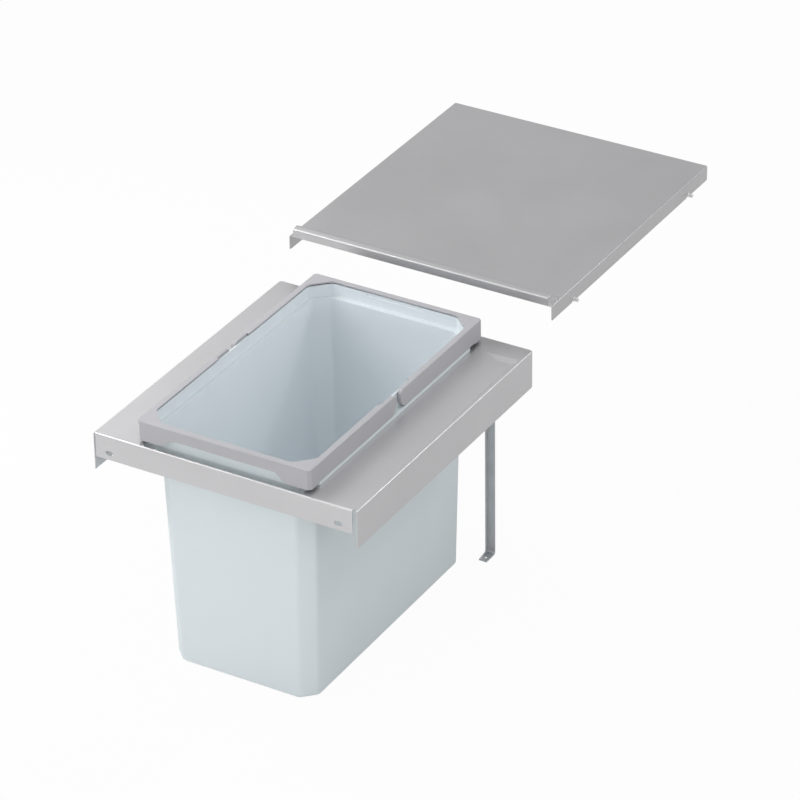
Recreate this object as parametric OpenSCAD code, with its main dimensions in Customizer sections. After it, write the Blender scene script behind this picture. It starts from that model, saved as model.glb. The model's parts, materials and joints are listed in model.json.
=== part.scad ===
// Built-in recycling bin for a kitchen cabinet. A folded steel frame rides on a pull-out
// and carries a lift-out bucket with two swing handles. A steel cover plate hangs on four
// pegs in the cabinet's sides, above the place that the bucket slides back to.
// Millimetres, with +Z up and -Y to the front. The origin lies midway between the two
// fixing slots, on the outer face of the frame's front flange.

/* [Frame] */
// Width of the frame over its side walls
frame_w = 398; // [380:1:560]
// Depth of the frame, front to back
frame_d = 462.5; // [450:0.5:540]
// Thickness of the frame's steel sheet
frame_sheet = 1.2; // [0.8:0.1:1.6]
// Height of the side and rear walls
frame_wall_h = 55.4; // [48:0.2:80]
// Height of the front flange
front_flange_h = 35.4; // [30:0.2:46]
// Outer radius of the frame's folds
frame_fold_r = 2.4; // [2:0.1:2.5]
// Radius of the frame's rear corners, seen from above
frame_corner_r = 5.5; // [3.4:0.1:8]
// Distance from the front flange's left end to the outer face of the left wall
relief_left = 2.7; // [2.6:0.1:6]
// Distance from the front flange's right end to the outer face of the right wall
relief_right = 6.9; // [2.6:0.1:8]
// Length of a fixing slot
slot_l = 12; // [8:0.5:14]
// Height of a fixing slot
slot_h = 6; // [4:0.2:8]
// Distance from the flange's end to the middle of a fixing slot
slot_inset = 21.2; // [12:0.2:40]
// Depth of the slots below the frame's top
slot_drop = 25.3; // [16:0.1:28]
// Distance from the frame's front to the bucket's cut-out
cutout_front = 3.2; // [3.2:0.1:8]
// Height of the flanges folded down along the cut-out's sides
cutout_flange_h = 20; // [12:1:30]
// Width of the stamped recess beside the bucket
recess_w = 53; // [40:1:56]
// Distance from the recess to the frame's right side
recess_inset = 5; // [4:0.5:12]
// Distance from the recess to the frame's front
recess_front = 31; // [16:1:80]
// Distance from the recess to the frame's rear
recess_rear = 34.5; // [24:0.5:60]
// Depth of the recess at its rear end, from where it rises to the front
recess_depth = 4; // [2:0.2:6]
// Run of the slope at the recess's rear end
recess_rear_run = 10; // [4:0.5:16]
// Run of the slope at the recess's outer side
recess_outer_run = 3; // [2:0.5:8]
// Run of the slope at the recess's inner side
recess_inner_run = 4; // [3:0.5:20]

/* [Struts] */
// Width of a strut
strut_w = 12.4; // [12:0.2:20]
// Thickness of a strut
strut_t = 2; // [1.5:0.1:3]
// Distance from the frame's side to the outer edge of a strut
strut_inset = 58.5; // [44:0.1:60]
// Depth of the flange along a strut's inner edge
strut_flange_d = 4.8; // [3:0.2:8]
// Radius of the flange's edge above the foot
strut_flange_r = 4; // [2:0.5:6]
// Height of the frame's top above the soles of the struts
strut_h = 342; // [342:0.5:420]
// Gap between the frame's plate and the top of a strut
strut_top_gap = 4; // [2.5:0.5:8]
// Length of a strut's foot
foot_l = 24.8; // [22:0.1:36]
// Outer radius of the bend above the foot
foot_bend_r = 4.5; // [4:0.1:7]
// Diameter of the screw hole in the foot
foot_hole_d = 4.6; // [3:0.1:6]
// Distance from the foot's tip to its screw hole
foot_hole_inset = 9; // [6:0.5:10]
// Diameter of a rivet's shank
rivet_d = 4; // [3:0.1:5]
// Diameter of a rivet's head
rivet_head_d = 7.4; // [6:0.1:9]
// Thickness of a rivet's head
rivet_head_t = 1.2; // [0.8:0.1:1.6]
// Distance between a strut's two rivets
rivet_spacing = 28; // [20:1:32]
// Distance from a strut's top to its upper rivet
rivet_inset = 11; // [8:0.5:14]

/* [Bucket] */
// Width of the bucket's body at the level of the frame's top
bucket_w = 236.2; // [215:0.2:240]
// Length of the bucket's body at the same level
bucket_l = 415.5; // [380:0.5:416]
// Depth of the bucket below the frame's top
bucket_depth = 341.4; // [260:0.2:341.8]
// Distance from the frame's front to the bucket's body
bucket_setback = 22.3; // [20.5:0.1:24]
// Sideways offset of the bucket from the frame's middle
bucket_shift = -4.8; // [-8:0.1:0]
// Wall thickness of the bucket
bucket_wall = 2.2; // [1.6:0.1:3]
// How far each side leans in at the bottom
side_draft = 8.2; // [4:0.2:14]
// How far the front leans in at the bottom
front_draft = 8.3; // [4:0.1:14]
// How far the rear leans in at the bottom
rear_draft = 4.4; // [2:0.1:14]
// Size of the cut at the body's corners
corner_cut = 19; // [14:0.5:22]
// Radius that softens the cut corners
corner_soft_r = 10; // [4:0.5:14]
// Radius of the bottom's edge
bottom_r = 3; // [3:0.5:8]
// Gap between the bucket and the frame's cut-out
bucket_gap = 1.4; // [1:0.1:2]
// Wall thickness of the collar
collar_wall = 2.5; // [2:0.1:3]
// How far the collar stands out over the body at the sides
collar_side_step = 6.5; // [5.8:0.1:7.2]
// How far the collar stands out over the body at the ends
collar_end_step = 8.4; // [7:0.1:9]
// Size of the cut at the collar's corners
collar_cut = 26.5; // [22:0.5:28]
// Height of the collar's rim above the frame's top
rim_h = 29.6; // [28:0.1:29.8]
// Height of the ledge inside the collar
ledge_h = 12; // [11:0.5:14]
// Thickness of the ledge
ledge_t = 2.4; // [2:0.1:3]
// Height of the side flanges that rest on the frame
side_flange_h = 5.6; // [4:0.1:5.7]
// Gap between the side flanges and the frame's plate
seat_gap = 0.3; // [0.2:0.05:0.4]
// Distance from the collar's front to the side flanges
side_flange_front = 16.5; // [12:0.5:30]
// Distance from the side flanges to the collar's rear
side_flange_rear = 27.5; // [12:0.5:40]
// How far the collar's front reaches below the frame's top
apron_drop = 8.5; // [2:0.5:10]
// Width of that front apron
apron_w = 222; // [200:1:230]
// Radius of that apron's corners
apron_r = 7; // [3:0.5:9]
// Width of the thumb recess in the collar's rear
thumb_w = 95; // [60:1:120]
// Height of the thumb recess
thumb_h = 5; // [3:0.5:8]
// Depth of the thumb recess into the wall
thumb_depth = 1.1; // [0.6:0.1:1.4]

/* [Handles] */
// Height of the handles' top above the frame's top
handle_h = 33.4; // [32.8:0.1:33.6]
// Width of the handles' top strip
handle_strip = 9.2; // [8:0.1:12]
// Thickness of the handles' top strip
handle_top_t = 2.4; // [2:0.1:2.4]
// Thickness of the handles' skirt
handle_wall = 2; // [1.6:0.1:2.4]
// Gap between the handles' skirt and the collar
handle_gap = 4.5; // [4.2:0.1:5.5]
// Radius of the handles' outer top edge
handle_edge_r = 1.8; // [0.8:0.1:1.9]
// Size of the bevel at the handles' outer corners
handle_bevel = 4.6; // [2:0.1:8]
// Size of the cut at the corners of the handles' opening
handle_cut = 24; // [22:0.5:30]
// Radius that softens the corners of the opening
handle_cut_r = 14; // [6:0.5:18]
// Height of the handles' corners above the frame's top
handle_foot_h = 4.3; // [3:0.1:5.5]
// Length of the low corners along the handles' sides
handle_foot_l = 21; // [16:0.5:24]
// Height of the raised middle of the end skirts above the frame's top
skirt_lift_h = 17; // [12:0.5:20]
// Distance from the middle of the end skirt to the inner end of its curve
skirt_lift_in = 75; // [50:1:80]
// Distance from the middle of the end skirt to the outer end of its curve
skirt_lift_out = 96; // [88:1:100]
// Height of the pivots above the frame's top
pivot_h = 19.7; // [19.6:0.05:19.8]
// Distance between the pivots of the two handles
pivot_spacing = 40; // [38:0.5:60]
// Diameter of the pivot studs on the collar
stud_d = 8; // [5:0.1:10]
// Length of the pivot studs
stud_l = 3.7; // [2.5:0.1:4]
// Radial clearance of a stud in its bore
stud_fit = 0.08; // [0.05:0.01:0.1]
// Gap between the handles' ends and the collar
nose_gap = 0.4; // [0.35:0.05:0.6]
// Length of the stretch beside a pivot where the strip steps out
nose_back = 17.5; // [15:0.5:24]
// Radius of the upper corner of a handle's end
nose_corner_r = 7; // [5:0.5:10]

/* [Cover] */
// Width of the cover plate
cover_w = 412; // [404:1:600]
// Depth of the cover plate
cover_d = 463.5; // [440:0.5:560]
// Thickness of the cover's steel sheet
cover_sheet = 1; // [0.8:0.1:1.4]
// Height of the cover's top above the frame's top
cover_h = 50; // [42:0.5:70]
// Height of the cover's side walls
cover_wall_h = 22; // [16:0.2:28]
// Outer radius of the cover's folds
cover_fold_r = 2; // [1.6:0.1:3]
// Distance that the frame is pulled out from under the cover
pull_out = 500; // [480:1:600]
// Height of the front edge of the raised lip
lip_h = 11.6; // [6:0.2:14]
// Height of the lip's crown, behind its front edge
lip_crown_h = 12.9; // [12:0.1:16]
// Distance from the lip's front to its crown
lip_crown_y = 8.5; // [7:0.5:14]
// Radius of the crown
lip_crown_r = 5.6; // [4:0.1:7]
// Depth of the lip, from its front to the foot of its ramp
lip_d = 31; // [22:0.5:50]
// Radius of the front lip's upper edge
lip_r = 2.2; // [1.6:0.1:3]
// Distance from the cover's side to the lip's foot
lip_inset = 6.2; // [5:0.1:16]
// Run of the slope at each end of the lip
lip_end_run = 0.5; // [0.5:0.5:14]
// Width of a notch where it holds its peg
notch_w = 9.4; // [7.8:0.1:10]
// Height of a notch
notch_h = 6.2; // [5.2:0.1:9]
// Distance from the cover's front to the middle of the front notches
notch_front = 62.5; // [40:0.5:100]
// Distance from the middle of the rear notches to the cover's rear
notch_rear = 60.5; // [40:0.5:100]
// Length of the curved lead-in at a rear notch
notch_lead = 4; // [3:0.5:5]
// Diameter of the part of a peg that holds the cover
peg_d = 6.4; // [6.2:0.1:7.6]
// Distance that a peg stands out from the cabinet's side
peg_reach = 6; // [5:0.5:12]
// Diameter of the part of a peg that sits in the cabinet's side
peg_shank_d = 5; // [4:0.1:6]
// Length of the part of a peg that sits in the cabinet's side
peg_shank_l = 6; // [6:0.5:14]
// Gap between the cover and the cabinet's sides
cabinet_gap = 0.5; // [0.4:0.1:2]
// Gap between a peg and the top of its notch
peg_gap = 0.2; // [0.1:0.05:0.4]
// Size of the chamfer on a peg's tip
peg_tip = 0.8; // [0.4:0.1:1.2]

/* [Hidden] */
// How far cuts run past a face
overrun = 1;
// Thickness of the thin layers that a hull joins
layer_t = 0.02;
// Clearance between a rivet and its hole
rivet_fit = 0.05;
// Radius of the frame's cut-out corners
cutout_r = 3;
// Radius of the softened edges on plastic outlines
soft_r = 4;
// Width and depth of the driver slot in a peg
driver_w = 1.2;
driver_depth = 1;
// Radius of the lower corners of the cover's walls
cover_corner_r = 2.5;
// Steps in a rounded corner
corner_steps = 4;

frame_half = frame_w / 2;
flange_l = frame_w - relief_left - relief_right;
flange_shift = (relief_left - relief_right) / 2;
cover_half = cover_w / 2;
bucket_mid_y = bucket_setback + bucket_l / 2;
collar_half = bucket_w / 2 + collar_side_step;
collar_reach = bucket_l / 2 + collar_end_step;
collar_front_y = bucket_mid_y - collar_reach;
collar_rear_y = bucket_mid_y + collar_reach;
handle_half = collar_half + handle_gap + handle_wall;
handle_reach = collar_reach + handle_gap + handle_wall;
nose_r = handle_h - pivot_h;
nose_side = collar_half + nose_gap;
bore_depth = stud_l - nose_gap + seat_gap;
cutout_half = bucket_w / 2 + bucket_gap;
cutout_rear_y = bucket_setback + bucket_l + bucket_gap;
cover_bottom = cover_h - cover_wall_h;
peg_z = cover_bottom + notch_h - peg_gap - peg_d / 2;
peg_front_y = pull_out + notch_front;
peg_rear_y = pull_out + cover_d - notch_rear;
strut_y = frame_d - frame_sheet - strut_t;
strut_mid = frame_half - strut_inset - strut_w / 2;

steel = [0.68, 0.68, 0.69];
strut_steel = [0.56, 0.58, 0.60];
bucket_plastic = [0.80, 0.84, 0.86];
handle_plastic = [0.66, 0.66, 0.68];

$fn = 48;

// Everything is drawn with the frame's middle at x = 0 and its top at z = 0, and then
// moved so that the origin lies between the slots
module from_top() {
    translate([-flange_shift, 0, slot_drop]) children();
}

function unit(v) = v / norm(v);

// The rounded corner at p, between the neighbours a and b
function corner_arc(a, p, b, r, steps) =
    let (u = unit(a - p), v = unit(b - p), half = acos(u * v) / 2,
         centre = p + unit(u + v) * r / sin(half),
         from = p + u * r / tan(half) - centre,
         to = p + v * r / tan(half) - centre,
         turn = 180 - 2 * half)
    [for (i = [0:steps])
        centre + from * sin(turn * (1 - i / steps)) / sin(turn)
               + to * sin(turn * i / steps) / sin(turn)];

// An outline with every corner rounded by r
function soften(points, r, steps = corner_steps) =
    let (n = len(points))
    [for (i = [0:n - 1])
        each corner_arc(points[(i + n - 1) % n], points[i], points[(i + 1) % n], r, steps)];

// A rectangle from y0 to y1, as wide as twice half, with its corners cut and softened
function cut_rectangle(half, y0, y1, cut, r) =
    soften([[half - cut, y0], [half, y0 + cut], [half, y1 - cut], [half - cut, y1],
            [cut - half, y1], [-half, y1 - cut], [-half, y0 + cut], [cut - half, y0]], r);

function rectangle(x0, x1, y0, y1) = [[x0, y0], [x1, y0], [x1, y1], [x0, y1]];

// Lays a shape drawn in Y and Z on its side and runs it along X, centred on x = 0
module run_along_x(length) {
    rotate([90, 0, 90])
        translate([0, 0, -length / 2])
            linear_extrude(length) children();
}

// Stands a shape drawn in X and Z up and runs it along Y, from y0 to y1
module run_along_y(y0, y1) {
    translate([0, y1, 0])
        rotate([90, 0, 0])
            linear_extrude(y1 - y0) children();
}

// The section of a folded edge: the plate, the fold and the wall hanging from it. Its
// outer face is at reach, and the top is at 0.
module fold_section(reach, wall_h, sheet, fold_r) {
    translate([0, -sheet]) square([reach - fold_r, sheet]);
    translate([reach - sheet, -wall_h]) square([sheet, wall_h - fold_r]);
    translate([reach - fold_r, -fold_r])
        intersection() {
            difference() {
                circle(fold_r);
                circle(fold_r - sheet);
            }
            square(fold_r);
        }
}

// A plate whose sides and rear are folded down, with round rear corners. Its front edge
// is at y = 0, and its flat plate starts at plate_front.
module folded_tray(w, d, wall_h, sheet, fold_r, corner_r, plate_front) {
    inner_half = w / 2 - corner_r;
    translate([-inner_half, plate_front, -sheet])
        cube([2 * inner_half, d - corner_r - plate_front, sheet]);
    for (side = [0, 1]) mirror([side, 0, 0]) {
        translate([inner_half, 0, 0])
            difference() {
                run_along_y(0, d - corner_r) fold_section(corner_r, wall_h, sheet, fold_r);
                translate([-overrun, -overrun, -fold_r])
                    cube([corner_r - fold_r + overrun, plate_front + overrun,
                          fold_r + overrun]);
            }
        translate([inner_half, d - corner_r, 0])
            rotate_extrude(angle = 90) fold_section(corner_r, wall_h, sheet, fold_r);
    }
    translate([0, d - corner_r, 0])
        run_along_x(2 * inner_half) fold_section(corner_r, wall_h, sheet, fold_r);
}

// The front flange: a strip folded down at the frame's front
module front_flange() {
    translate([flange_shift, 2 * frame_fold_r, 0])
        mirror([0, 1, 0])
            run_along_x(flange_l)
                fold_section(2 * frame_fold_r, front_flange_h, frame_sheet, frame_fold_r);
}

// A fixing slot through the front flange
module fixing_slot(x) {
    translate([x, -overrun, -slot_drop])
        rotate([-90, 0, 0]) {
            for (end = [-1, 1])
                translate([end * (slot_l - slot_h) / 2, 0, 0])
                    cylinder(d = slot_h, h = frame_sheet + 2 * overrun);
            translate([-(slot_l - slot_h) / 2, -slot_h / 2, 0])
                cube([slot_l - slot_h, slot_h, frame_sheet + 2 * overrun]);
        }
}

// The wedge of the stamped recess, grown by the sheet for its underside: a trough along Y
// that meets a ramp along X. Its walls carry on above the plate as far as top.
module recess_wedge(grow, top) {
    x1 = frame_half - recess_inset + grow;
    x0 = frame_half - recess_inset - recess_w - grow;
    y1 = frame_d - recess_rear + grow;
    y0 = recess_front - grow;
    floor_z = -recess_depth - grow;
    intersection() {
        run_along_y(y0, y1)
            polygon([[x0, top], [x0, 0], [x0 + recess_inner_run, floor_z],
                     [x1 - recess_outer_run, floor_z], [x1, 0], [x1, top]]);
        translate([(x0 + x1) / 2, 0, 0])
            run_along_x(x1 - x0)
                polygon([[y0, top], [y0, 0], [y1 - recess_rear_run, floor_z], [y1, 0],
                         [y1, top]]);
    }
}

// The plate's edge beside the bucket, folded down into a flange
module cutout_flange() {
    translate([cutout_half + 2 * frame_fold_r, 0, 0])
        mirror([1, 0, 0])
            run_along_y(cutout_front + cutout_r, cutout_rear_y - cutout_r)
                fold_section(2 * frame_fold_r, cutout_flange_h, frame_sheet,
                             frame_fold_r);
}

module pullout_frame() {
    color(steel) from_top() {
        difference() {
            union() {
                folded_tray(frame_w, frame_d, frame_wall_h, frame_sheet, frame_fold_r,
                            frame_corner_r, 2 * frame_fold_r);
                front_flange();
                recess_wedge(frame_sheet, 0);
            }
            recess_wedge(0, overrun);
            translate([bucket_shift, 0, -frame_sheet - overrun])
                linear_extrude(frame_sheet + 2 * overrun)
                    polygon(soften(rectangle(-cutout_half - frame_fold_r,
                                             cutout_half + frame_fold_r,
                                             cutout_front, cutout_rear_y), cutout_r));
            for (side = [-1, 1]) {
                fixing_slot(flange_shift + side * (flange_l / 2 - slot_inset));
                rivet_pattern(side) rivet_hole();
            }
        }
        for (side = [0, 1])
            translate([bucket_shift, 0, 0]) mirror([side, 0, 0]) cutout_flange();
    }
}

// Puts a shape at both rivets of one strut, with the rear wall's outer face at y = 0
module rivet_pattern(side) {
    for (i = [0, 1])
        translate([side * strut_mid, frame_d,
                   -frame_sheet - strut_top_gap - rivet_inset - i * rivet_spacing])
            children();
}

// The hole for a rivet, through the rear wall and a strut
module rivet_hole() {
    rotate([90, 0, 0])
        translate([0, 0, -overrun])
            cylinder(d = rivet_d + 2 * rivet_fit, h = frame_sheet + strut_t + 2 * overrun);
}

// A rivet with a head on both sides
module rivet() {
    grip = frame_sheet + strut_t;
    rotate([90, 0, 0]) {
        cylinder(d = rivet_d, h = grip);
        translate([0, 0, -rivet_head_t]) cylinder(d = rivet_head_d, h = rivet_head_t);
        translate([0, 0, grip]) cylinder(d = rivet_head_d, h = rivet_head_t);
    }
}

// The side view of a strut: a flat bar with a foot bent to the front at its lower end
module strut_section(top_z) {
    translate([0, -strut_h + foot_bend_r])
        square([strut_t, top_z + strut_h - foot_bend_r]);
    translate([strut_t - foot_bend_r, -strut_h + foot_bend_r])
        intersection() {
            difference() {
                circle(foot_bend_r);
                circle(foot_bend_r - strut_t);
            }
            translate([0, -foot_bend_r]) square(foot_bend_r);
        }
    translate([strut_t - foot_l, -strut_h]) square([foot_l - foot_bend_r, strut_t]);
}

// The side view of the flange that stiffens a strut: it runs out along the foot
function strut_flange(top_z) =
    let (sole = -strut_h, tip = strut_t - foot_l, low = sole + 2 * strut_t,
         mid_r = foot_bend_r - strut_t / 2,
         edge = [for (i = [0:2 * corner_steps])
                    let (turn = 90 * i / (2 * corner_steps))
                    [-strut_flange_d - strut_flange_r * (1 - cos(turn)),
                     low + strut_flange_r * (1 - sin(turn))]])
    concat([[strut_t / 2, top_z], [-strut_flange_d, top_z]], edge,
           [[tip, sole + strut_t], [tip, sole + strut_t / 2],
            [strut_t - foot_bend_r, sole + strut_t / 2],
            [strut_t - foot_bend_r + mid_r / sqrt(2), sole + foot_bend_r - mid_r / sqrt(2)],
            [strut_t / 2, sole + foot_bend_r]]);

// A strut that hangs from the rear wall, with a flange along its inner edge
module strut(side) {
    top_z = -frame_sheet - strut_top_gap;
    color(strut_steel) from_top() difference() {
        union() {
            translate([side * strut_mid, strut_y, 0])
                run_along_x(strut_w) strut_section(top_z);
            translate([side * (strut_mid - (strut_w - strut_t) / 2), strut_y, 0])
                run_along_x(strut_t) polygon(strut_flange(top_z));
        }
        rivet_pattern(side) rivet_hole();
        translate([side * strut_mid, strut_y + strut_t - foot_l + foot_hole_inset,
                   -strut_h - overrun])
            cylinder(d = foot_hole_d, h = strut_t + 2 * overrun);
    }
}

module strut_rivets(side) {
    color(strut_steel) from_top() rivet_pattern(side) rivet();
}

// The bucket's body at height z, drawn in by inset on all sides
function body_outline(z, inset) =
    let (lean = z / bucket_depth)
    cut_rectangle(bucket_w / 2 + side_draft * lean - inset,
                  bucket_setback - front_draft * lean + inset,
                  bucket_setback + bucket_l + rear_draft * lean - inset,
                  corner_cut, corner_soft_r);

// A tapered block with the body's shape, from a rounded bottom up to z = top
module body_block(bottom, top, inset, edge_r) {
    hull() {
        translate([0, 0, top - layer_t])
            linear_extrude(layer_t) polygon(body_outline(top, inset));
        for (i = [0:corner_steps])
            let (turn = 90 * i / corner_steps, z = bottom + edge_r * (1 - cos(turn)))
            translate([0, 0, z])
                linear_extrude(layer_t)
                    polygon(body_outline(z, inset + edge_r * (1 - sin(turn))));
    }
}

// The collar's outline, drawn in by inset on all sides
function collar_outline(inset) =
    cut_rectangle(collar_half - inset, collar_front_y + inset, collar_rear_y - inset,
                  collar_cut - inset * (2 - sqrt(2)), soft_r);

// The collar's wall between two heights
module collar_wall_ring(z0, z1) {
    translate([0, 0, z0])
        linear_extrude(z1 - z0)
            difference() {
                polygon(collar_outline(0));
                polygon(collar_outline(collar_wall));
            }
}

// The part of the collar's wall that reaches down to the side flanges, and the flanges
module side_flange(side) {
    y0 = collar_front_y + side_flange_front;
    y1 = collar_rear_y - side_flange_rear;
    inner = collar_half - collar_wall;
    mirror([side, 0, 0]) {
        translate([inner, y0, side_flange_h - bucket_wall])
            cube([handle_half - inner, y1 - y0, bucket_wall]);
        translate([inner, y0, side_flange_h - bucket_wall])
            cube([collar_wall, y1 - y0, ledge_h - side_flange_h]);
        translate([handle_half - bucket_wall, y0, seat_gap])
            cube([bucket_wall, y1 - y0, side_flange_h - seat_gap]);
        for (y = [y0, y1 - bucket_wall])
            translate([inner, y, seat_gap])
                cube([handle_half - inner, bucket_wall, side_flange_h - seat_gap]);
    }
}

// A flat apron under the collar's front, which reaches down into the frame's cut-out
module apron() {
    run_along_y(collar_front_y, collar_front_y + collar_wall)
        polygon(soften(rectangle(-apron_w / 2, apron_w / 2, -apron_drop, ledge_h), apron_r));
}

// A shallow recess for a thumb at the top of the collar's rear wall
module thumb_recess() {
    run_along_y(collar_rear_y - collar_wall - overrun,
                collar_rear_y - collar_wall + thumb_depth)
        polygon([[-thumb_w / 2, rim_h + overrun], [thumb_w / 2, rim_h + overrun],
                 [thumb_w / 2 - thumb_h, rim_h - thumb_h],
                 [thumb_h - thumb_w / 2, rim_h - thumb_h]]);
}

// The four studs that the handles turn on
module pivot_studs() {
    for (side = [-1, 1], end = [-1, 1])
        translate([side * (collar_half - collar_wall / 2),
                   bucket_mid_y + end * pivot_spacing / 2, pivot_h])
            rotate([0, side * 90, 0])
                cylinder(d = stud_d, h = collar_wall / 2 + stud_l);
}

module bucket() {
    color(bucket_plastic) from_top() translate([bucket_shift, 0, 0]) {
        difference() {
            union() {
                body_block(-bucket_depth, ledge_h - ledge_t / 2, 0, bottom_r);
                translate([0, 0, ledge_h - ledge_t])
                    linear_extrude(ledge_t) polygon(collar_outline(0));
                collar_wall_ring(ledge_h - layer_t, rim_h);
                for (side = [0, 1]) side_flange(side);
                apron();
            }
            body_block(bucket_wall - bucket_depth, ledge_h + overrun, bucket_wall,
                       bottom_r - bucket_wall);
            thumb_recess();
        }
        pivot_studs();
    }
}

// The outline of a handle's end in Y and Z, with its pivot at 0 and its nose to +Y
module nose_outline() {
    circle(nose_r);
    translate([-nose_back, -nose_r]) square([nose_back, 2 * nose_r]);
    square([nose_r - nose_corner_r, nose_r]);
    square([nose_r, nose_r - nose_corner_r]);
    translate([nose_r - nose_corner_r, nose_r - nose_corner_r]) circle(nose_corner_r);
}

// The curve that lifts the lower edge of a handle's end skirt, as an outline to cut away
function skirt_lift() =
    let (steps = 2 * corner_steps, rise = skirt_lift_h - handle_foot_h,
         run = skirt_lift_out - skirt_lift_in,
         left = [for (i = [0:steps])
                    [-skirt_lift_out + run * i / steps,
                     handle_foot_h + rise * (1 - cos(180 * i / steps)) / 2]],
         right = [for (i = [0:steps]) [-left[steps - i][0], left[steps - i][1]]])
    concat([[-skirt_lift_out, handle_foot_h - overrun]], left, right,
           [[skirt_lift_out, handle_foot_h - overrun]]);

// The front handle about the middle of the bucket: the rear one is its mirror image
module handle() {
    pivot_y = -pivot_spacing / 2;
    nose_end = pivot_y + nose_r;
    strip_bottom = handle_h - handle_top_t;
    side_skirt_bottom = pivot_h - nose_r;
    opening = handle_half - handle_strip;
    cavity = handle_half - handle_wall;
    difference() {
        // The solid block of the handle, with its top edges rounded
        intersection() {
            run_along_y(-handle_reach, nose_end)
                rounded_top(handle_half);
            union() {
                intersection() {
                    run_along_x(2 * handle_half)
                        half_rounded_top(handle_reach, -pivot_y);
                    linear_extrude(handle_h)
                        polygon(cut_rectangle(handle_half, -handle_reach, handle_reach,
                                              handle_bevel, handle_edge_r));
                }
                for (side = [-1, 1])
                    translate([side * (nose_side + handle_half) / 2, pivot_y, pivot_h])
                        run_along_x(handle_half - nose_side) nose_outline();
            }
        }
        // The opening inside the strip, and the hollow under it
        translate([0, 0, -overrun])
            linear_extrude(handle_h + 2 * overrun)
                polygon(cut_rectangle(opening, handle_strip - handle_reach,
                                      handle_reach, handle_cut, handle_cut_r));
        difference() {
            translate([0, 0, -overrun])
                linear_extrude(strip_bottom + overrun)
                    polygon(cut_rectangle(cavity, handle_wall - handle_reach,
                                          handle_reach, handle_bevel, handle_edge_r));
            translate([-handle_half, pivot_y - nose_back, 0])
                cube([2 * handle_half, handle_reach, handle_h]);
        }
        translate([-nose_side, pivot_y - nose_back, -overrun])
            cube([2 * nose_side, handle_reach, handle_h + 2 * overrun]);
        // The lower edge: low corners, higher sides and a raised middle
        translate([-handle_half - overrun, handle_foot_l - handle_reach, -overrun])
            cube([2 * handle_half + 2 * overrun, handle_reach,
                  side_skirt_bottom + overrun]);
        translate([-handle_half - overrun, -handle_reach - overrun, -overrun])
            cube([2 * handle_half + 2 * overrun, handle_reach,
                  handle_foot_h + overrun]);
        run_along_y(-handle_reach - overrun, handle_wall - handle_reach + overrun)
            polygon(skirt_lift());
        // The bores for the studs, closed towards the outside
        for (side = [-1, 1])
            translate([side * (nose_side - overrun), pivot_y, pivot_h])
                rotate([0, side * 90, 0])
                    cylinder(d = stud_d + 2 * stud_fit, h = bore_depth + overrun);
    }
}

// A block in X and Z, as wide as twice half, with rounded top corners
module rounded_top(half) {
    translate([-half, 0]) square([2 * half, handle_h - handle_edge_r]);
    translate([handle_edge_r - half, 0])
        square([2 * (half - handle_edge_r), handle_h]);
    for (side = [-1, 1])
        translate([side * (half - handle_edge_r), handle_h - handle_edge_r])
            circle(handle_edge_r);
}

// A block in Y and Z, from its rounded top corner at -reach to y = -end
module half_rounded_top(reach, end) {
    translate([-reach, 0]) square([reach - end, handle_h - handle_edge_r]);
    translate([handle_edge_r - reach, 0])
        square([reach - handle_edge_r - end, handle_h]);
    translate([handle_edge_r - reach, handle_h - handle_edge_r]) circle(handle_edge_r);
}

module front_handle() {
    color(handle_plastic) from_top()
        translate([bucket_shift, bucket_mid_y, 0]) handle();
}

module rear_handle() {
    color(handle_plastic) from_top()
        translate([bucket_shift, bucket_mid_y, 0]) mirror([0, 1, 0]) handle();
}

// A round bar along the lip, with its top at height top where its radius is full_r
module lip_edge(y, top, r, full_r, half) {
    translate([0, y, top - full_r])
        rotate([0, 90, 0])
            cylinder(r = r, h = 2 * half, center = true, $fn = 32);
}

// The raised front lip as a block, drawn in by inset for its inside
module lip_block(inset, below) {
    foot_half = cover_half - lip_inset - inset;
    edge_half = foot_half - lip_end_run;
    hull() {
        translate([-foot_half, inset, -below])
            cube([2 * foot_half, lip_d - 2 * inset, below]);
        lip_edge(lip_r, lip_h, lip_r - inset, lip_r, edge_half);
        lip_edge(lip_crown_y, lip_crown_h, lip_crown_r - inset, lip_crown_r, edge_half);
    }
}

// The front notch: a slot with a round top
module front_notch() {
    notch_r = notch_w / 2;
    translate([notch_front, notch_h - notch_r]) circle(notch_r);
    translate([notch_front - notch_r, -overrun])
        square([notch_w, notch_h - notch_r + overrun]);
}

// The rear notch: a round seat with a straight rear and a curved lead-in at its front
module rear_notch() {
    notch_r = notch_w / 2;
    seat = cover_d - notch_rear;
    translate([seat, notch_h - notch_r]) circle(notch_r);
    translate([seat - notch_r, -overrun])
        square([notch_w, notch_h - notch_r + overrun]);
    difference() {
        translate([seat - notch_r - notch_lead, -overrun])
            square([notch_lead + notch_r, notch_h - notch_r + overrun]);
        translate([seat - notch_r - notch_lead, notch_h - notch_r + notch_lead / 2])
            circle(notch_lead);
    }
}

// What is cut away to round the lower front corner of a side wall
module wall_corner() {
    difference() {
        translate([-overrun, -overrun]) square(cover_corner_r + overrun);
        translate([cover_corner_r, cover_corner_r]) circle(cover_corner_r);
    }
}

module cover_plate() {
    color(steel) from_top() translate([0, pull_out, cover_h]) difference() {
        union() {
            folded_tray(cover_w, cover_d, cover_wall_h, cover_sheet, cover_fold_r,
                        cover_fold_r + cover_sheet, 0);
            lip_block(0, cover_sheet);
        }
        lip_block(cover_sheet, cover_sheet + overrun);
        translate([0, 0, -cover_wall_h])
            run_along_x(cover_w + 2 * overrun) {
                front_notch();
                rear_notch();
                wall_corner();
            }
    }
}

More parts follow.
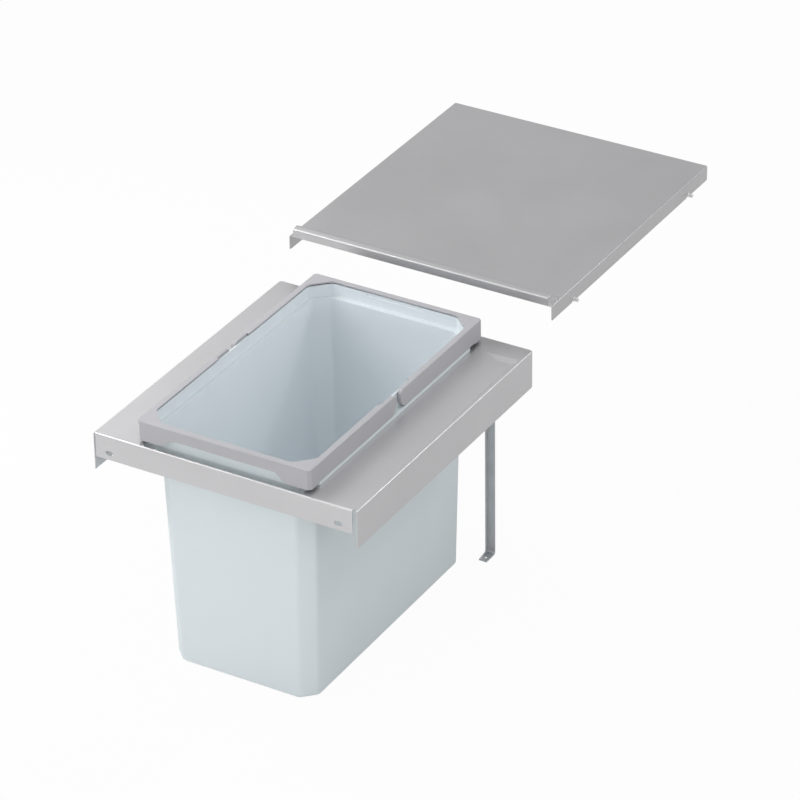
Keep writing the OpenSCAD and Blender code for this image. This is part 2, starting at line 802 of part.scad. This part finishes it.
// A stepped peg: its wide part holds the cover, and its shank sits in the cabinet's side
module cover_peg(side, y) {
    face = cover_half + cabinet_gap;
    color(strut_steel) from_top()
        translate([side * face, y, peg_z])
            rotate([0, -side * 90, 0])
                difference() {
                    rotate_extrude()
                        polygon([[0, -peg_shank_l], [peg_shank_d / 2, -peg_shank_l],
                                 [peg_shank_d / 2, 0], [peg_d / 2, 0],
                                 [peg_d / 2, peg_reach - peg_tip],
                                 [peg_d / 2 - peg_tip, peg_reach], [0, peg_reach]]);
                    translate([-peg_d / 2, -driver_w / 2, peg_reach - driver_depth])
                        cube([peg_d, driver_w, driver_depth + overrun]);
                }
}

pullout_frame();
strut(-1);  // strut_left
strut(1);  // strut_right
strut_rivets(-1);  // strut_rivets_left
strut_rivets(1);  // strut_rivets_right
bucket();
front_handle();
rear_handle();
cover_plate();
cover_peg(-1, peg_front_y);  // cover_peg_front_left
cover_peg(1, peg_front_y);  // cover_peg_front_right
cover_peg(-1, peg_rear_y);  // cover_peg_rear_left
cover_peg(1, peg_rear_y);  // cover_peg_rear_right
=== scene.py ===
"""Looks of the built-in recycling bin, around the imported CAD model. Metres, +Z up, -Y to the front."""

import json
import math

import bmesh
import bpy
from mathutils import Matrix, Vector


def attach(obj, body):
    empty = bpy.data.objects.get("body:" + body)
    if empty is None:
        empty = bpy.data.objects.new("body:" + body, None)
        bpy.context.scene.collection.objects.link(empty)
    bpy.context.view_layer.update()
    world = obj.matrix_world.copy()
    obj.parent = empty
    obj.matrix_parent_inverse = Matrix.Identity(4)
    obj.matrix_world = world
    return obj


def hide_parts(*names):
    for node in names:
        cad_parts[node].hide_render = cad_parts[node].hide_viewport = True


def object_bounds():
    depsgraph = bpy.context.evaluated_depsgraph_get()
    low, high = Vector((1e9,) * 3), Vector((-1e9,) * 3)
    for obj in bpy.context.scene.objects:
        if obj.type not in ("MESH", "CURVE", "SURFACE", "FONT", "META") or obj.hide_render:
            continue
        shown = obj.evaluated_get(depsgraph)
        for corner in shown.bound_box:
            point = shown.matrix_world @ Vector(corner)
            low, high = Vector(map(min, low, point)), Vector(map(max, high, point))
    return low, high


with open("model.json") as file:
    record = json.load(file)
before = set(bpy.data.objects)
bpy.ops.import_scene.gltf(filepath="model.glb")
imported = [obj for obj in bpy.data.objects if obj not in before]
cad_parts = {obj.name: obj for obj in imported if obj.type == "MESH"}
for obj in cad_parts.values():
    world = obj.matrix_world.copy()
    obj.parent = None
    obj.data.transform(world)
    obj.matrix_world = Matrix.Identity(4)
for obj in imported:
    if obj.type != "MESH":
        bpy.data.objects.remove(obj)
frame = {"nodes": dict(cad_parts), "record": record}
CAD_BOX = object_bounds()

MM = 0.001


# Camera

CAMERA_PLACE = Vector((2.54554, -3.84175, 2.87368))
CAMERA_RIGHT = Vector((0.86469, 0.50218, -0.01177))
CAMERA_UP = Vector((-0.24858, 0.44816, 0.85870))
CAMERA_LENS = 190.8
CAMERA_SENSOR = 36.0
CAMERA_SHIFT_X = -0.01025
CAMERA_SHIFT_Y = -0.0006
CAMERA_REACH = 50.0


def make_camera():
    data = bpy.data.cameras.new("camera")
    data.lens = CAMERA_LENS
    data.sensor_width = CAMERA_SENSOR
    data.shift_x = CAMERA_SHIFT_X
    data.shift_y = CAMERA_SHIFT_Y
    data.clip_end = CAMERA_REACH
    right = CAMERA_RIGHT.normalized()
    up = (CAMERA_UP - right * CAMERA_UP.dot(right)).normalized()
    back = right.cross(up)
    turn = Matrix((right, up, back)).transposed()
    camera = bpy.data.objects.new("camera", data)
    camera.matrix_world = Matrix.Translation(CAMERA_PLACE) @ turn.to_4x4()
    bpy.context.collection.objects.link(camera)
    bpy.context.scene.camera = camera


# Node materials

# Places of the Mix node's sockets for colours
MIX_FACTOR, MIX_FIRST, MIX_SECOND, MIX_RESULT = 0, 6, 7, 2


class Nodes:
    """The node tree of a material or world, and short ways to add nodes to it."""

    def __init__(self, owner):
        owner.use_nodes = True
        self.tree = owner.node_tree

    def put(self, socket, value):
        """Gives a socket a plain value, or links it to the output of another node."""
        if isinstance(value, bpy.types.NodeSocket):
            self.tree.links.new(value, socket)
        else:
            socket.default_value = value

    def node(self, kind, inputs=None, **settings):
        """Adds a node with its settings and its inputs, which are plain values or outputs."""
        node = self.tree.nodes.new(kind)
        for name, value in settings.items():
            setattr(node, name, value)
        for socket, value in (inputs or {}).items():
            self.put(node.inputs[socket], value)
        return node

    def math(self, operation, first, second):
        node = self.node("ShaderNodeMath", {0: first, 1: second}, operation=operation)
        return node.outputs["Value"]

    def surface(self, output_kind, factor, first, second):
        """Ends an emptied tree with a mix of two shaders."""
        mixer = self.node("ShaderNodeMixShader", {0: factor, 1: first, 2: second})
        self.node(output_kind, {"Surface": mixer.outputs["Shader"]})


class Shader(Nodes):
    """A node material with one Principled shader, and ways to add the patterns before it."""

    def __init__(self, name, **constants):
        self.material = bpy.data.materials.new(name)
        super().__init__(self.material)
        self.bsdf = self.tree.nodes["Principled BSDF"]
        for socket, value in constants.items():
            self.set(socket, value)
        coordinates = self.node("ShaderNodeTexCoord")
        self.place = coordinates.outputs["Object"]
        self.facing = coordinates.outputs["Normal"]

    def set(self, socket, value):
        self.put(self.bsdf.inputs[socket], value)

    def stretched(self, scale):
        """The object's coordinates, scaled along each axis."""
        node = self.node("ShaderNodeMapping", {"Scale": scale, "Vector": self.place})
        return node.outputs["Vector"]

    def noise(self, scale=1.0, detail=2.0, roughness=0.6, vector=None):
        node = self.node("ShaderNodeTexNoise", {"Scale": scale, "Detail": detail,
                                                "Roughness": roughness,
                                                "Vector": vector or self.place})
        return node.outputs["Fac"]

    def ramp(self, value, *stops):
        """Maps a value to a colour between two stops of (place, colour)."""
        node = self.node("ShaderNodeValToRGB", {"Fac": value})
        for element, (place, colour) in zip(node.color_ramp.elements, stops):
            element.position = place
            element.color = opaque(colour)
        return node.outputs["Color"]

    def span(self, value, low, high, start=0.0, end=1.0):
        """Maps a value from start..end to low..high."""
        node = self.node("ShaderNodeMapRange", {"Value": value, "From Min": start, "From Max": end,
                                                "To Min": low, "To Max": high})
        return node.outputs["Result"]

    def mix(self, factor, first, second, blend="MIX"):
        """Mixes two colours."""
        node = self.node("ShaderNodeMix", data_type="RGBA", blend_type=blend)
        for socket, value in ((MIX_FACTOR, factor), (MIX_FIRST, first), (MIX_SECOND, second)):
            self.put(node.inputs[socket], value)
        return node.outputs[MIX_RESULT]

    def turned_inwards(self, middle, fade):
        """1 on faces turned towards the object's middle, 0 on those turned away."""
        offset = self.node("ShaderNodeVectorMath", {0: self.place, 1: middle},
                           operation="SUBTRACT")
        outwards = self.node("ShaderNodeVectorMath", {0: offset.outputs["Vector"], 1: self.facing},
                             operation="DOT_PRODUCT")
        return self.span(outwards.outputs["Value"], 1.0, 0.0, -fade, fade)

    def bump(self, height, strength, distance):
        return self.node("ShaderNodeBump", {"Strength": strength, "Distance": distance,
                                            "Height": height})


def opaque(colour):
    return (*colour, 1)


def grey(value, tint=(1.0, 1.0, 1.0)):
    return tuple(value * share for share in tint)


STEEL_IOR = 1.45
PLASTIC_IOR = 1.49
COATING_TINT = (1.0, 0.985, 0.995)


def coated_steel(name, light, dark):
    """Satin silver-coated sheet steel: fine grain, faint specks and clouds."""
    shader = Shader(name, Metallic=0.8, IOR=STEEL_IOR)
    clouds = shader.noise(scale=7.0, roughness=0.55)
    fine = shader.noise(scale=900.0)
    grain = shader.noise(scale=2600.0, detail=1.0, roughness=0.5)
    base = shader.ramp(clouds, (0.35, grey(dark, COATING_TINT)), (0.65, grey(light, COATING_TINT)))
    specks = shader.ramp(fine, (0.3, grey(0.93)), (0.7, grey(1.0)))
    waves = shader.bump(clouds, strength=0.05, distance=0.4 * MM)
    pits = shader.bump(grain, strength=0.10, distance=0.05 * MM)
    shader.put(pits.inputs["Normal"], waves.outputs["Normal"])
    shader.set("Base Color", shader.mix(1.0, base, specks, "MULTIPLY"))
    shader.set("Roughness", shader.span(shader.math("ADD", clouds, fine), low=0.33, high=0.39,
                                        start=0.7, end=1.3))
    shader.set("Normal", pits.outputs["Normal"])
    return shader.material


def zinc_steel(name, light, dark):
    """Zinc-plated strip, rolled lengthwise."""
    shader = Shader(name, Metallic=0.75, IOR=STEEL_IOR)
    streaks = shader.noise(detail=3.0, vector=shader.stretched((900.0, 900.0, 24.0)))
    clouds = shader.noise(scale=30.0, roughness=0.55)
    base = shader.ramp(clouds, (0.3, dark), (0.7, light))
    lines = shader.ramp(streaks, (0.3, grey(0.9)), (0.7, grey(1.0)))
    lengthwise = shader.bump(streaks, strength=0.12, distance=0.05 * MM)
    shader.set("Base Color", shader.mix(1.0, base, lines, "MULTIPLY"))
    shader.set("Roughness", shader.span(streaks, low=0.36, high=0.48))
    shader.set("Normal", lengthwise.outputs["Normal"])
    return shader.material


def turned_steel(name, light, dark):
    """Bright nickel-plated pins, turned on a lathe: fine rings along X."""
    shader = Shader(name, Metallic=0.6, IOR=STEEL_IOR)
    rings = shader.noise(vector=shader.stretched((1400.0, 60.0, 60.0)))
    grooves = shader.bump(rings, strength=0.15, distance=0.04 * MM)
    shader.set("Base Color", shader.ramp(rings, (0.3, grey(dark)), (0.7, grey(light))))
    shader.set("Roughness", shader.span(rings, low=0.30, high=0.42))
    shader.set("Normal", grooves.outputs["Normal"])
    return shader.material


def moulded_plastic(name, light, dark, smoothest, roughest, grain_depth, inner_painted_light=None, middle=None):
    """Moulded plastic: a fine spark-eroded grain, a faint flow mottle, and inner faces painted lighter
    and bluer as painted light for the glow through translucent walls and light bounced inside.
    """
    shader = Shader(name, IOR=PLASTIC_IOR)
    flow = shader.noise(scale=9.0, roughness=0.5, vector=shader.stretched((1.0, 1.0, 0.4)))
    grain = shader.noise(scale=1500.0)
    colour = shader.ramp(flow, (0.35, dark), (0.65, light))
    # Painted light: faces turned towards the middle get a lighter, bluer colour standing in for light
    # through the walls and bounced inside
    if inner_painted_light:
        painted_light_faces = shader.turned_inwards(middle, fade=20 * MM)
        colour = shader.mix(painted_light_faces, colour, opaque(inner_painted_light))
    pits = shader.bump(grain, strength=0.12, distance=grain_depth)
    shader.set("Base Color", colour)
    shader.set("Roughness", shader.span(grain, low=smoothest, high=roughest))
    shader.set("Normal", pits.outputs["Normal"])
    return shader.material


def bucket_middle():
    """Midway between the hinges of the two handles, at the height of the origin."""
    joints = frame["record"]["behaviour"]["joints"]
    front, rear = (Vector(joint["pos_m"]) for joint in joints if joint["type"] == "hinge")
    return Vector((front.x, (front.y + rear.y) / 2, 0))


FRAME_STEEL = coated_steel("frame_steel_look", light=0.71, dark=0.68)
COVER_STEEL = coated_steel("cover_steel_look", light=0.62, dark=0.59)
STRUT_STEEL = zinc_steel("strut_steel_look", light=(0.62, 0.635, 0.65), dark=(0.55, 0.565, 0.58))
PEG_STEEL = turned_steel("peg_steel_look", light=0.93, dark=0.84)
# The bucket's inside colour is painted light: lighter, bluer inner faces stand in for light through its
# translucent walls and bounced inside it
BUCKET_PLASTIC = moulded_plastic("bucket_plastic_look", light=(0.74, 0.80, 0.82),
                                 dark=(0.72, 0.785, 0.805), smoothest=0.38, roughest=0.48,
                                 grain_depth=0.03 * MM, inner_painted_light=(0.81, 0.855, 0.885),
                                 middle=bucket_middle())
HANDLE_PLASTIC = moulded_plastic("handle_plastic_look", light=(0.48, 0.475, 0.495),
                                 dark=(0.46, 0.455, 0.475), smoothest=0.42, roughest=0.52,
                                 grain_depth=0.04 * MM)


# The frame's recess

# Boxes of (low, high) round the recess's rear slope, and round the foot of that slope
RECESS_SLOPE = Vector((141, 400, 18)) * MM, Vector((198, 431, 27)) * MM
RECESS_FOOT = Vector((145, 417, 19.5)) * MM, Vector((195, 420, 22)) * MM
# The photograph has the foot higher, and its inner end, up to this X, further out
FOOT_LIFT = 2 * MM
FOOT_INNER_END = 150 * MM
FOOT_INNER_SHIFT = 24 * MM
# An edge is crosswise if it runs back less than this share of what it runs across
CROSSWISE_SLANT = 0.5


def lies_in(box, place):
    return all(low < value < high for low, value, high in zip(box[0], place, box[1]))


def ease_recess(bm):
    """Makes the recess's slopes as gentle as in the photograph, the rear one with sharp edges."""
    for vert in bm.verts:
        if lies_in(RECESS_FOOT, vert.co):
            if vert.co.x < FOOT_INNER_END:
                vert.co.x += FOOT_INNER_SHIFT
            vert.co.z += FOOT_LIFT
    for edge in bm.edges:
        start, end = (vert.co for vert in edge.verts)
        crosswise = abs(end.y - start.y) < CROSSWISE_SLANT * abs(end.x - start.x)
        if crosswise and lies_in(RECESS_SLOPE, start) and lies_in(RECESS_SLOPE, end):
            edge.smooth = False


# Pieces

BODY_OF = {node: body for body, nodes in frame["record"]["behaviour"]["bodies"].items()
           for node in nodes}

# Corners nearer than the first are joined, edges that bend less than the second are dropped, and
# edges that bend more than the third are softened
SAME_PLACE = 0.002 * MM
FLAT_BEND = math.radians(0.2)
SOFTENED_BEND = math.radians(28)
# Steps of a softened edge, on moulded and on folded pieces
MOULDED_STEPS = 3
FOLDED_STEPS = 2


def plain_copy(node, name, reshape):
    """A copy of a CAD node's mesh without its needless edges, smooth and maybe reshaped."""
    mesh = frame["nodes"][node].data.copy()
    mesh.name = name
    bm = bmesh.new()
    bm.from_mesh(mesh)
    bmesh.ops.remove_doubles(bm, verts=bm.verts, dist=SAME_PLACE)
    bmesh.ops.dissolve_limit(bm, angle_limit=FLAT_BEND, verts=bm.verts, edges=bm.edges)
    if reshape:
        reshape(bm)
    for face in bm.faces:
        face.smooth = True
    bm.to_mesh(mesh)
    bm.free()
    if "custom_normal" in mesh.attributes:
        mesh.attributes.remove(mesh.attributes["custom_normal"])
    return mesh


def dressed_copy(node, name, material, softening, steps, reshape=None):
    """A copy of a CAD node with softened edges and a material, which replaces the node."""
    mesh = plain_copy(node, name, reshape)
    mesh.materials.clear()
    mesh.materials.append(material)
    piece = bpy.data.objects.new(name, mesh)
    bpy.context.collection.objects.link(piece)
    soft = piece.modifiers.new("soft_edges", "BEVEL")
    soft.limit_method = "ANGLE"
    soft.angle_limit = SOFTENED_BEND
    soft.width = softening
    soft.segments = steps
    soft.use_clamp_overlap = False
    soft.miter_outer = "MITER_ARC"
    soft.harden_normals = True
    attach(piece, BODY_OF[node])
    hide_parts(node)


def carry_over(node, material):
    """Gives a CAD node that stays in view its material."""
    for slot in frame["nodes"][node].material_slots:
        slot.material = material


def make_pieces():
    dressed_copy("pullout_frame", "frame_sheet", FRAME_STEEL,
                 softening=0.3 * MM, steps=FOLDED_STEPS, reshape=ease_recess)
    dressed_copy("bucket", "bucket_shell", BUCKET_PLASTIC,
                 softening=0.45 * MM, steps=MOULDED_STEPS)
    for end in ("front", "rear"):
        dressed_copy(f"{end}_handle", f"{end}_handle_hoop", HANDLE_PLASTIC,
                     softening=0.5 * MM, steps=MOULDED_STEPS)
    dressed_copy("cover_plate", "cover_sheet", COVER_STEEL,
                 softening=0.25 * MM, steps=FOLDED_STEPS)
    for side in ("left", "right"):
        dressed_copy(f"strut_{side}", f"strut_bar_{side}", STRUT_STEEL,
                     softening=0.35 * MM, steps=FOLDED_STEPS)
        carry_over(f"strut_rivets_{side}", STRUT_STEEL)
        for place in ("front", "rear"):
            carry_over(f"cover_peg_{place}_{side}", PEG_STEEL)


# Floor

FLOOR_SIZE = 12.0
FLOOR_MIDDLE_Y = 0.4
FLOOR_GAP = 0.4 * MM
FLOOR_GREY = 0.72
# The part of the floor's brightness that is a glow, for each kind of ray
FLOOR_GLOW = {"Is Camera Ray": 0.95, "Is Glossy Ray": 0.12, "Is Transmission Ray": 0.12}


def glow_share(nodes):
    path = nodes.node("ShaderNodeLightPath")
    total = 0.0
    for ray, share in FLOOR_GLOW.items():
        part = nodes.math("MULTIPLY", path.outputs[ray], share)
        total = nodes.math("MAXIMUM", part, total)
    return total


def floor_look():
    """Matte grey that keeps shadows, under a white glow that only seen and mirrored rays meet."""
    material = bpy.data.materials.new("floor_look")
    nodes = Nodes(material)
    nodes.tree.nodes.clear()
    matte = nodes.node("ShaderNodeBsdfDiffuse", {"Color": opaque(grey(FLOOR_GREY))})
    glow = nodes.node("ShaderNodeEmission", {"Color": opaque(grey(1.0))})
    nodes.surface("ShaderNodeOutputMaterial", glow_share(nodes), matte.outputs["BSDF"],
                  glow.outputs["Emission"])
    return material


def make_floor():
    mesh = bpy.data.meshes.new("floor")
    bm = bmesh.new()
    bmesh.ops.create_grid(bm, x_segments=2, y_segments=2, size=FLOOR_SIZE / 2)
    bm.to_mesh(mesh)
    bm.free()
    mesh.materials.append(floor_look())
    floor = bpy.data.objects.new("floor", mesh)
    lowest = CAD_BOX[0][2]
    floor.location = (0, FLOOR_MIDDLE_Y, lowest - FLOOR_GAP)
    bpy.context.collection.objects.link(floor)


# Room and lights

ROOM_COLOUR = (0.97, 0.985, 1.0)
ROOM_STRENGTH = 0.54
# What the camera itself sees behind the floor: the floor's own white
BACKDROP_WHITE = 0.975


def make_room():
    world = bpy.data.worlds.new("studio")
    bpy.context.scene.world = world
    nodes = Nodes(world)
    nodes.tree.nodes.clear()
    room = nodes.node("ShaderNodeBackground",
                      {"Color": opaque(ROOM_COLOUR), "Strength": ROOM_STRENGTH})
    backdrop = nodes.node("ShaderNodeBackground", {"Color": opaque(grey(BACKDROP_WHITE))})
    path = nodes.node("ShaderNodeLightPath")
    nodes.surface("ShaderNodeOutputWorld", path.outputs["Is Camera Ray"],
                  room.outputs["Background"], backdrop.outputs["Background"])


def area_light(name, place, target, size, watts):
    data = bpy.data.lights.new(name, "AREA")
    data.shape = "RECTANGLE"
    data.size, data.size_y = size
    data.energy = watts
    light = bpy.data.objects.new(name, data)
    light.location = place
    light.rotation_euler = (Vector(target) - Vector(place)).to_track_quat("-Z", "Y").to_euler()
    bpy.context.collection.objects.link(light)


def make_lights():
    area_light("key", (-1.7, -2.3, 2.4), target=(0, 0.35, 0), size=(2.4, 2.4), watts=12)
    area_light("near", (-1.3, 0.0, 1.1), target=(-0.1, 0.15, 0), size=(0.9, 0.9), watts=15)
    area_light("overhead_left", (-1.4, 0.6, 2.9), target=(0, 0.3, 0), size=(1.2, 1.2), watts=5)
    area_light("top", (0.2, 0.2, 3.2), target=(0, 0.4, 0), size=(2.4, 2.4), watts=8)
    area_light("right", (3.2, -0.4, 1.2), target=(0, 0.4, 0), size=(2.4, 1.8), watts=10)
    area_light("right_rear", (1.8, 3.0, 1.6), target=(0, 0.4, 0), size=(1.6, 1.2), watts=5)
    area_light("left_rear", (-1.8, 3.0, 2.1), target=(0, 0.4, 0), size=(2.4, 1.8), watts=1)
    area_light("left_glow", (-1.1, 1.1, 0.9), target=(-0.15, 0.05, 0), size=(0.7, 0.7), watts=0.65)
    area_light("front_low", (0.3, -3.0, 0.08), target=(0, 0.2, 0), size=(2.8, 0.6), watts=20)
    area_light("rear_right_high", (1.7, 2.3, 2.3), target=(0, 0.2, 0), size=(0.5, 0.5), watts=14)


make_camera()
make_pieces()
make_floor()
make_room()
make_lights()
bpy.context.scene.view_settings.view_transform = "Standard"
